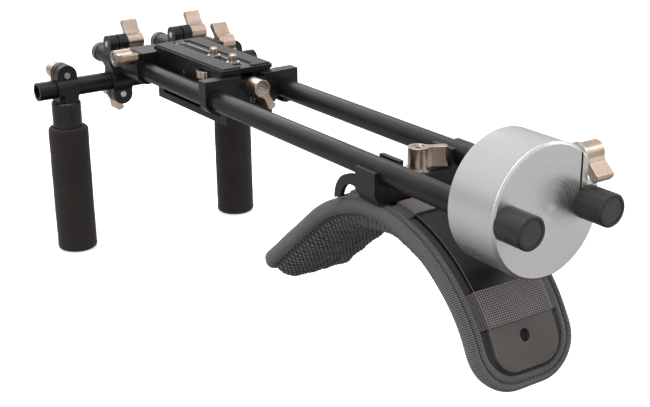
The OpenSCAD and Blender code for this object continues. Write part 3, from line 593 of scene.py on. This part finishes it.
def grid_mesh(name, rows, closed_rows=False, closed_cols=False, caps=False, cloth=None):
    """Mesh of a grid of points. cloth holds the same grid of cloth coordinates in mm."""
    n, m = len(rows), len(rows[0])
    verts = [p for row in rows for p in row]
    faces = []
    for i in range(n if closed_rows else n - 1):
        for j in range(m if closed_cols else m - 1):
            a, b = i * m + j, i * m + (j + 1) % m
            c, d = ((i + 1) % n) * m + (j + 1) % m, ((i + 1) % n) * m + j
            faces.append((a, b, c, d))
    if caps:
        faces.append(tuple(range(m - 1, -1, -1)))
        faces.append(tuple((n - 1) * m + j for j in range(m)))
    mesh = bpy.data.meshes.new(name)
    mesh.from_pydata([tuple(v) for v in verts], [], faces)
    if cloth is not None:
        attribute = mesh.attributes.new("cloth_mm", "FLOAT_VECTOR", "POINT")
        flat = [c for row in cloth for point in row for c in point]
        attribute.data.foreach_set("vector", flat)
    mesh.update()
    return mesh


def face_out(mesh):
    bm = bmesh.new()
    bm.from_mesh(mesh)
    bmesh.ops.recalc_face_normals(bm, faces=bm.faces)
    bm.to_mesh(mesh)
    bm.free()


# ---------------------------------------------------------------- the pad's shape, in mm

ARCH_Y, ARCH_Z = -243.5, -150.8
TOP_R = 108.0
REAR_ANGLE, WING_ANGLE = 169.0, 50.0
ARC_LEN = TOP_R * math.radians(REAR_ANGLE - WING_ANGLE)
WING_LEN = 91.0
PAD_LEN = ARC_LEN + WING_LEN
PAD_HALF = 38.0
CORNER = 29.0
NOSE = 20.0
EDGE_T = 7.4
PAD_T = 22.5


def on_pad(s, x, n):
    """Point s mm along the pad from its rear end, x to the right, n above its top face, in metres."""
    r = TOP_R + n
    if s < ARC_LEN:
        a = math.radians(REAR_ANGLE) - s / TOP_R
        y, z = ARCH_Y + r * math.cos(a), ARCH_Z + r * math.sin(a)
    else:
        a = math.radians(WING_ANGLE)
        d = s - ARC_LEN
        y = ARCH_Y + r * math.cos(a) + d * math.cos(a - math.pi / 2)
        z = ARCH_Z + r * math.sin(a) + d * math.sin(a - math.pi / 2)
    return Vector((mm(x), mm(y), mm(z)))


def corner_of(s):
    """Radius of the pad's corners at that end."""
    return CORNER if s < PAD_LEN / 2 else NOSE


def outline(step):
    """Points round the pad's edge with their inward directions: (s, x, in_s, in_x, distance along)."""
    points = []
    travelled = 0.0

    def run(length, place):
        nonlocal travelled
        count = max(1, round(length / step))
        for i in range(count):
            d = length * i / count
            points.append((*place(d), travelled + d))
        travelled += length

    def corner(cs, cx, r, start):
        run(r * math.pi / 2, lambda d: (
            cs + r * math.cos(start - d / r), cx + r * math.sin(start - d / r),
            -math.cos(start - d / r), -math.sin(start - d / r)))

    lo, hi = CORNER, PAD_LEN - NOSE
    side, nose = PAD_HALF - CORNER, PAD_HALF - NOSE
    run(hi - lo, lambda d: (hi - d, -PAD_HALF, 0.0, 1.0))
    corner(lo, -side, CORNER, 1.5 * math.pi)
    run(2 * side, lambda d: (0.0, -side + d, 1.0, 0.0))
    corner(lo, side, CORNER, math.pi)
    run(hi - lo, lambda d: (lo + d, PAD_HALF, 0.0, -1.0))
    corner(hi, nose, NOSE, 0.5 * math.pi)
    run(2 * nose, lambda d: (PAD_LEN, nose - d, -1.0, 0.0))
    corner(hi, -nose, NOSE, 0.0)
    return points, travelled


def edge_distance(s, x):
    """How far inside the pad's outline a point is, in mm."""
    r = corner_of(s)
    ds = min(s, PAD_LEN - s)
    dx = PAD_HALF - abs(x)
    if ds < r and dx < r:
        return r - math.hypot(r - ds, r - dx)
    return min(ds, dx)


# ---------------------------------------------------------------- edge tape

# inset from the edge and height above the pad's top, round the folded tape, and 1 in its sewn groove
TAPE_SECTION = [
    (8.7, -0.6, 0), (8.8, 0.4, 0), (8.4, 1.1, 0), (7.6, 1.35, 0), (6.7, 1.3, 0), (5.8, 1.1, 0), (5.2, 0.7, 0),
    (4.9, -0.2, 1), (4.2, -0.2, 1), (3.9, 0.6, 0), (3.2, 1.2, 0),
    (2.2, 1.45, 0), (1.2, 1.1, 0), (0.4, 0.3, 0),
    (-0.2, -0.8, 0), (-0.5, -2.2, 0), (-0.6, -3.6, 0), (-0.5, -5.0, 0), (-0.1, -6.3, 0), (0.7, -7.4, 0),
    (1.8, -8.0, 0), (3.2, -8.2, 0), (4.4, -7.9, 0), (5.2, -7.2, 0), (5.4, -6.4, 0),
]


RIB = 1.3


def tape_mesh():
    points, total = outline(RIB / 5)
    ribs = round(total / RIB)
    rows, cloth = [], []
    lengths = [0.0]
    for a, b in zip(TAPE_SECTION, TAPE_SECTION[1:]):
        lengths.append(lengths[-1] + math.hypot(b[0] - a[0], b[1] - a[1]))
    for s, x, in_s, in_x, along in points + [points[0][:4] + (total,)]:
        turn = 2 * math.pi * along / total * ribs
        row, marks = [], []
        for k, (inset, n, groove) in enumerate(TAPE_SECTION):
            a = TAPE_SECTION[max(0, k - 1)]
            b = TAPE_SECTION[min(len(TAPE_SECTION) - 1, k + 1)]
            t = Vector((b[0] - a[0], b[1] - a[1])).normalized()
            out = Vector((t.y, -t.x))
            soft = 0.25 * noise.noise(Vector((s * 0.05, x * 0.05, k * 0.3)))
            lift = -0.2 * math.cos(turn) * (0.2 if groove else 1.0) - soft
            d = inset + out.x * lift
            row.append(on_pad(s + in_s * d, x + in_x * d, n + out.y * lift))
            marks.append((turn / (2 * math.pi) * RIB, lengths[k], groove))
        rows.append(row)
        cloth.append(marks)
    mesh = grid_mesh("pad_edge_tape", rows, cloth=cloth)
    face_out(mesh)
    return mesh, points, total


tape, edge_points, edge_total = tape_mesh()
tape_piece = new_piece("pad_edge_tape", tape, TAPE, "saddle")
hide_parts("pad_binding")


# ---------------------------------------------------------------- stitches

def stitch(bm, a, b, radius, lift):
    axis = (b - a)
    length = axis.length
    axis.normalize()
    side = axis.cross(lift).normalized()
    top = side.cross(axis).normalized()
    sections = ((0.0, 0.35), (0.12, 0.85), (0.35, 1.0), (0.65, 1.0), (0.88, 0.85), (1.0, 0.35))
    rings = []
    for t, k in sections:
        sag = top * (radius * 0.9 * (4 * t * (1 - t)) ** 0.5)
        centre = a + axis * (length * t) + sag
        ring = [bm.verts.new(centre + (side * math.cos(q) + top * math.sin(q) * 0.7) * radius * k)
                for q in (i * math.pi / 3 for i in range(6))]
        rings.append(ring)
    for r0, r1 in zip(rings, rings[1:]):
        for i in range(6):
            bm.faces.new((r0[i], r0[(i + 1) % 6], r1[(i + 1) % 6], r1[i]))
    bm.faces.new(rings[0][::-1])
    bm.faces.new(rings[-1])


def edge_stitches():
    bm = bmesh.new()
    pitch, length = 3.1, 2.2
    count = int(edge_total / pitch)
    step = edge_total / count

    def at(d, n, inset):
        d %= edge_total
        i = min(range(0, len(edge_points), 16), key=lambda k: abs(edge_points[k][4] - d))
        near = range(max(0, i - 16), min(len(edge_points), i + 17))
        i = min(near, key=lambda k: abs(edge_points[k][4] - d))
        s, x, in_s, in_x, _ = edge_points[i]
        return on_pad(s + in_s * inset, x + in_x * inset, n)

    for k in range(count):
        for inset, n in ((4.55, 0.0), (3.3, -8.35)):
            a = at(k * step, n, inset)
            b = at(k * step + length, n, inset)
            above = at(k * step + length / 2, n + (3 if n > 0 else -3), inset) - (a + b) / 2
            stitch(bm, a, b, mm(0.28), above)
    mesh = bpy.data.meshes.new("pad_stitches")
    bm.to_mesh(mesh)
    bm.free()
    return mesh


new_piece("pad_stitches", edge_stitches(), THREAD, "saddle")


# ---------------------------------------------------------------- pad body

CHANNELS = [46.0, 92.0, 138.0, 184.0, 232.0]
NUB = 2.9


def panel_puff():
    """Inflates the underside panel as a flat cloth that is held at its edge and along its sewn channels.
    Returns the depth at any (s, x), in mm."""
    step = 2.4
    cols = int(2 * (PAD_HALF - 4) / step) + 1
    rows = int((PAD_LEN - 8) / step) + 1
    s0, x0 = 4.0, -(cols - 1) * step / 2
    bm = bmesh.new()
    grid = [[bm.verts.new((mm(s0 + i * step), mm(x0 + j * step), 0)) for j in range(cols)]
            for i in range(rows)]
    for i in range(rows - 1):
        for j in range(cols - 1):
            bm.faces.new((grid[i][j], grid[i + 1][j], grid[i + 1][j + 1], grid[i][j + 1]))
    mesh = bpy.data.meshes.new("panel")
    bm.to_mesh(mesh)
    bm.free()
    panel = bpy.data.objects.new("panel", mesh)
    bpy.context.scene.collection.objects.link(panel)
    pins = panel.vertex_groups.new(name="pins")
    for v in mesh.vertices:
        s, x = v.co.x * 1000, v.co.y * 1000
        near = min(abs(s - c) for c in CHANNELS)
        held = edge_distance(s, x) < 6.0 or near < step / 2 or abs(x) < step / 2
        if held:
            pins.add([v.index], 1.0, "REPLACE")
    cloth = panel.modifiers.new("cloth", "CLOTH")
    st = cloth.settings
    st.vertex_group_mass = "pins"
    st.quality = 5
    st.mass = 0.25
    st.tension_stiffness = st.compression_stiffness = 12
    st.bending_stiffness = 0.6
    st.use_pressure = True
    st.uniform_pressure_force = 7.0
    st.shrink_min = -0.06
    st.effector_weights.gravity = 0.0
    cloth.point_cache.frame_start, cloth.point_cache.frame_end = 1, 20
    for f in range(1, 21):
        bpy.context.scene.frame_set(f)
    got = panel.evaluated_get(bpy.context.evaluated_depsgraph_get()).to_mesh()
    depth = [[min(6.0, abs(got.vertices[i * cols + j].co.z) * 1000) for j in range(cols)]
             for i in range(rows)]
    bpy.context.scene.frame_set(1)
    bpy.data.objects.remove(panel)

    def at(s, x):
        u = min(max((s - s0) / step, 0), rows - 1.001)
        v = min(max((x - x0) / step, 0), cols - 1.001)
        i, j = int(u), int(v)
        fu, fv = u - i, v - j
        a = depth[i][j] * (1 - fv) + depth[i][j + 1] * fv
        b = depth[i + 1][j] * (1 - fv) + depth[i + 1][j + 1] * fv
        return a * (1 - fu) + b * fu
    return at


puff = panel_puff()


def nub_height(s, x):
    """Raised loops of the spacer mesh, staggered, 0 to 1."""
    row = s / (NUB * 0.866)
    shift = 0.5 if int(math.floor(row)) % 2 else 0.0
    ds = (row - math.floor(row) - 0.5) * NUB * 0.866
    q = x / NUB + shift
    dx = (q - math.floor(q) - 0.5) * NUB
    d = math.hypot(ds, dx) / (NUB * 0.5)
    return max(0.0, 1 - d * d) ** 0.8


def pad_rows(cols_at, rows_at, height, depth_mark):
    rows, cloth = [], []
    for u in rows_at:
        row, marks = [], []
        for v in cols_at:
            s, x = fit_inside(u, v)
            n, mark = height(s, x)
            row.append(on_pad(s, x, n))
            marks.append((s, x, mark))
        rows.append(row)
        cloth.append(marks)
    return rows, cloth


INNER = 4.6


def fit_inside(u, v):
    """Maps the unit square onto the pad's outline less the tape, with its rounded ends."""
    s = INNER + u * (PAD_LEN - 2 * INNER)
    r = corner_of(s) - INNER
    ds = min(s, PAD_LEN - s) - INNER
    half = PAD_HALF - INNER
    if ds < r:
        half = half - r + math.sqrt(max(0.0, r * r - (r - ds) ** 2))
    return s, (v * 2 - 1) * half


def under_height(s, x):
    mark = nub_height(s, x)
    e = max(0.0, edge_distance(s, x) - INNER)
    belly = (1 - (1 - min(1.0, e / 16.0)) ** 2) ** 0.62
    n = EDGE_T - 0.8 + (PAD_T - EDGE_T - 1.2) * belly
    return -n - 0.6 * puff(s, x) - 0.8 * mark * min(1.0, e / 3.0), mark


def top_height(s, x):
    e = max(0.0, edge_distance(s, x) - INNER)
    crown = 0.5 * min(1.0, e / 3.0) ** 0.6
    if abs(x) < 25.5:
        crown *= max(0.0, min(1.0, (abs(x) - 23.0) / 2.5))
        crown = min(crown, -0.15 + crown)
    ripple = 0.12 * noise.noise(Vector((s * 0.09, x * 0.12, 3.0)))
    under_shell = abs(x) < 24.6 and 6.0 < s < PAD_LEN - 8.0
    return (min(-0.05, crown + ripple - 0.1) if under_shell else crown + ripple - 0.1), 0.0


def spread(count, ease):
    """0 to 1 in steps that are shorter towards both ends when ease is over 0."""
    out = []
    for i in range(count + 1):
        t = i / count
        out.append((1 - ease) * t + ease * 0.5 * (1 - math.cos(math.pi * t)))
    return out


def build_pad():
    fine = 0.62
    n_rows, n_cols = int(PAD_LEN / fine), int(2 * PAD_HALF / fine)
    rows, cloth = pad_rows(spread(n_cols, 0.0), spread(n_rows, 0.35), under_height, 0)
    mesh = grid_mesh("pad_underside", rows, cloth=cloth)
    under = new_piece("pad_underside", mesh, MESH, "saddle")
    rows, cloth = pad_rows(spread(90, 0.2), spread(260, 0.35), top_height, 0)
    mesh = grid_mesh("pad_top_cloth", rows, cloth=cloth)
    new_piece("pad_top_cloth", mesh, CLOTH, "saddle")
    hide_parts("pad_cushion")
    return under


under_piece = build_pad()

# ---------------------------------------------------------------- straps

STRAP_T = 1.2


def strap(name, s_from, s_to):
    """Webbing over the shell: flat on top, down at the shell's sides, sewn to the pad at both ends."""
    path = [
        (-30.2, 1.0), (-29.2, 1.35), (-28.2, 1.6), (-27.0, 1.9), (-26.0, 2.4), (-25.3, 3.0), (-24.8, 3.7),
        (-24.0, 4.25), (-22.5, 4.45), (-18.0, 4.5), (-9.0, 4.55), (0.0, 4.55),
    ]
    path = path + [(-x, n) for x, n in path[-2::-1]]
    steps = []
    travelled = 0.0
    for (x0, n0), (x1, n1) in zip(path, path[1:]):
        length = math.hypot(x1 - x0, n1 - n0)
        count = max(1, round(length / 0.6))
        for i in range(count):
            t = i / count
            steps.append((x0 + (x1 - x0) * t, n0 + (n1 - n0) * t, travelled + length * t))
        travelled += length
    steps.append((*path[-1], travelled))
    width = abs(s_to - s_from)
    across = max(10, round(width / 0.9))
    rows, cloth = [], []
    for x, n, along in steps:
        wobble = 0.18 * noise.noise(Vector((along * 0.11, s_from, 0.0)))
        ring, marks = [], []
        for k in range(across + 1):
            t = k / across
            cup = 0.10 * math.sin(math.pi * t) + 0.12 * noise.noise(Vector((x * 0.08, t * 3, s_from)))
            s = s_from + (s_to - s_from) * t + wobble
            if k == 0 or k == across:
                s += 0.16 * math.sin(along * 2 * math.pi / 1.6) * (1 if k else -1)
            ring.append(on_pad(s, x, n + cup))
            marks.append((along, t * width, 1.0))
        for k in range(across, -1, -1):
            t = k / across
            s = s_from + (s_to - s_from) * t + wobble
            cup = 0.10 * math.sin(math.pi * t) + 0.12 * noise.noise(Vector((x * 0.08, t * 3, s_from)))
            ring.append(on_pad(s, x, n + cup - STRAP_T))
            marks.append((along, t * width, 0.0))
        rows.append(ring)
        cloth.append(marks)
    mesh = grid_mesh(name, rows, closed_cols=True, caps=True, cloth=cloth)
    face_out(mesh)
    piece = new_piece(name, mesh, WEBBING, "saddle")
    return piece


def s_of(angle):
    return TOP_R * math.radians(REAR_ANGLE - angle)


upper_rear = strap("strap_upper_rear", s_of(103.5), s_of(95))
strap("strap_upper_front", s_of(77), s_of(68.5))
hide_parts("pad_upper_straps")
lower_rear = strap("strap_lower_rear", s_of(148), s_of(136.5))
strap("strap_lower_front", ARC_LEN + 10, ARC_LEN + 32)
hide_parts("pad_lower_straps")


# ---------------------------------------------------------------- foam grips

def grip(name, node, body):
    lo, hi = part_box(node)
    cx, cy = (lo.x + hi.x) / 2, (lo.y + hi.y) / 2
    r = (hi.x - lo.x) / 2
    corner = 0.003
    inner = 0.0121
    section = [(inner, hi.z - 0.0012), (inner + 0.0006, hi.z - 0.0002)]
    section += [(r - corner + corner * math.sin(a), hi.z - corner + corner * math.cos(a))
                for a in (math.radians(d) for d in range(0, 91, 9))]
    count = 150
    top, low = hi.z - corner, lo.z + corner
    section += [(r, top + (low - top) * i / count) for i in range(1, count)]
    section += [(r - corner + corner * math.cos(a), lo.z + corner - corner * math.sin(a))
                for a in (math.radians(d) for d in range(0, 91, 9))]
    section += [(r * 0.5, lo.z + 0.0001), (0.0006, lo.z + 0.0001)]
    around = 150
    rows = []
    for q, z in section:
        row = []
        for k in range(around):
            a = 2 * math.pi * k / around
            p = Vector((math.cos(a) * q, math.sin(a) * q, z))
            soft = 0.00022 * noise.noise(p * 900) + 0.00025 * noise.noise(p * 90)
            soft = min(soft, 0.0) if q < r - 0.004 else soft
            g = (q + soft - 0.00015)
            row.append((cx + math.cos(a) * g, cy + math.sin(a) * g, z))
        rows.append(row)
    mesh = grid_mesh(name, rows, closed_cols=True)
    face_out(mesh)
    piece = new_piece(name, mesh, FOAM, body)
    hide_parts(node)


grip("foam_grip_left", "handle_left_grip", "left_handle")
grip("foam_grip_right", "handle_right_grip", "right_handle")


# ---------------------------------------------------------------- floor

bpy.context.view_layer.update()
floor_mesh = bpy.data.meshes.new("floor")
half = 12.0
z = cad_low.z - 0.0004
floor_corners = [(-half, -half, z), (half, -half, z), (half, half, z), (-half, half, z)]
floor_mesh.from_pydata(floor_corners, [], [(0, 1, 2, 3)])
floor = bpy.data.objects.new("floor", floor_mesh)
bpy.context.scene.collection.objects.link(floor)
floor_mesh.materials.append(pale_floor())
floor.visible_diffuse = False
floor.visible_glossy = False
floor.visible_shadow = False
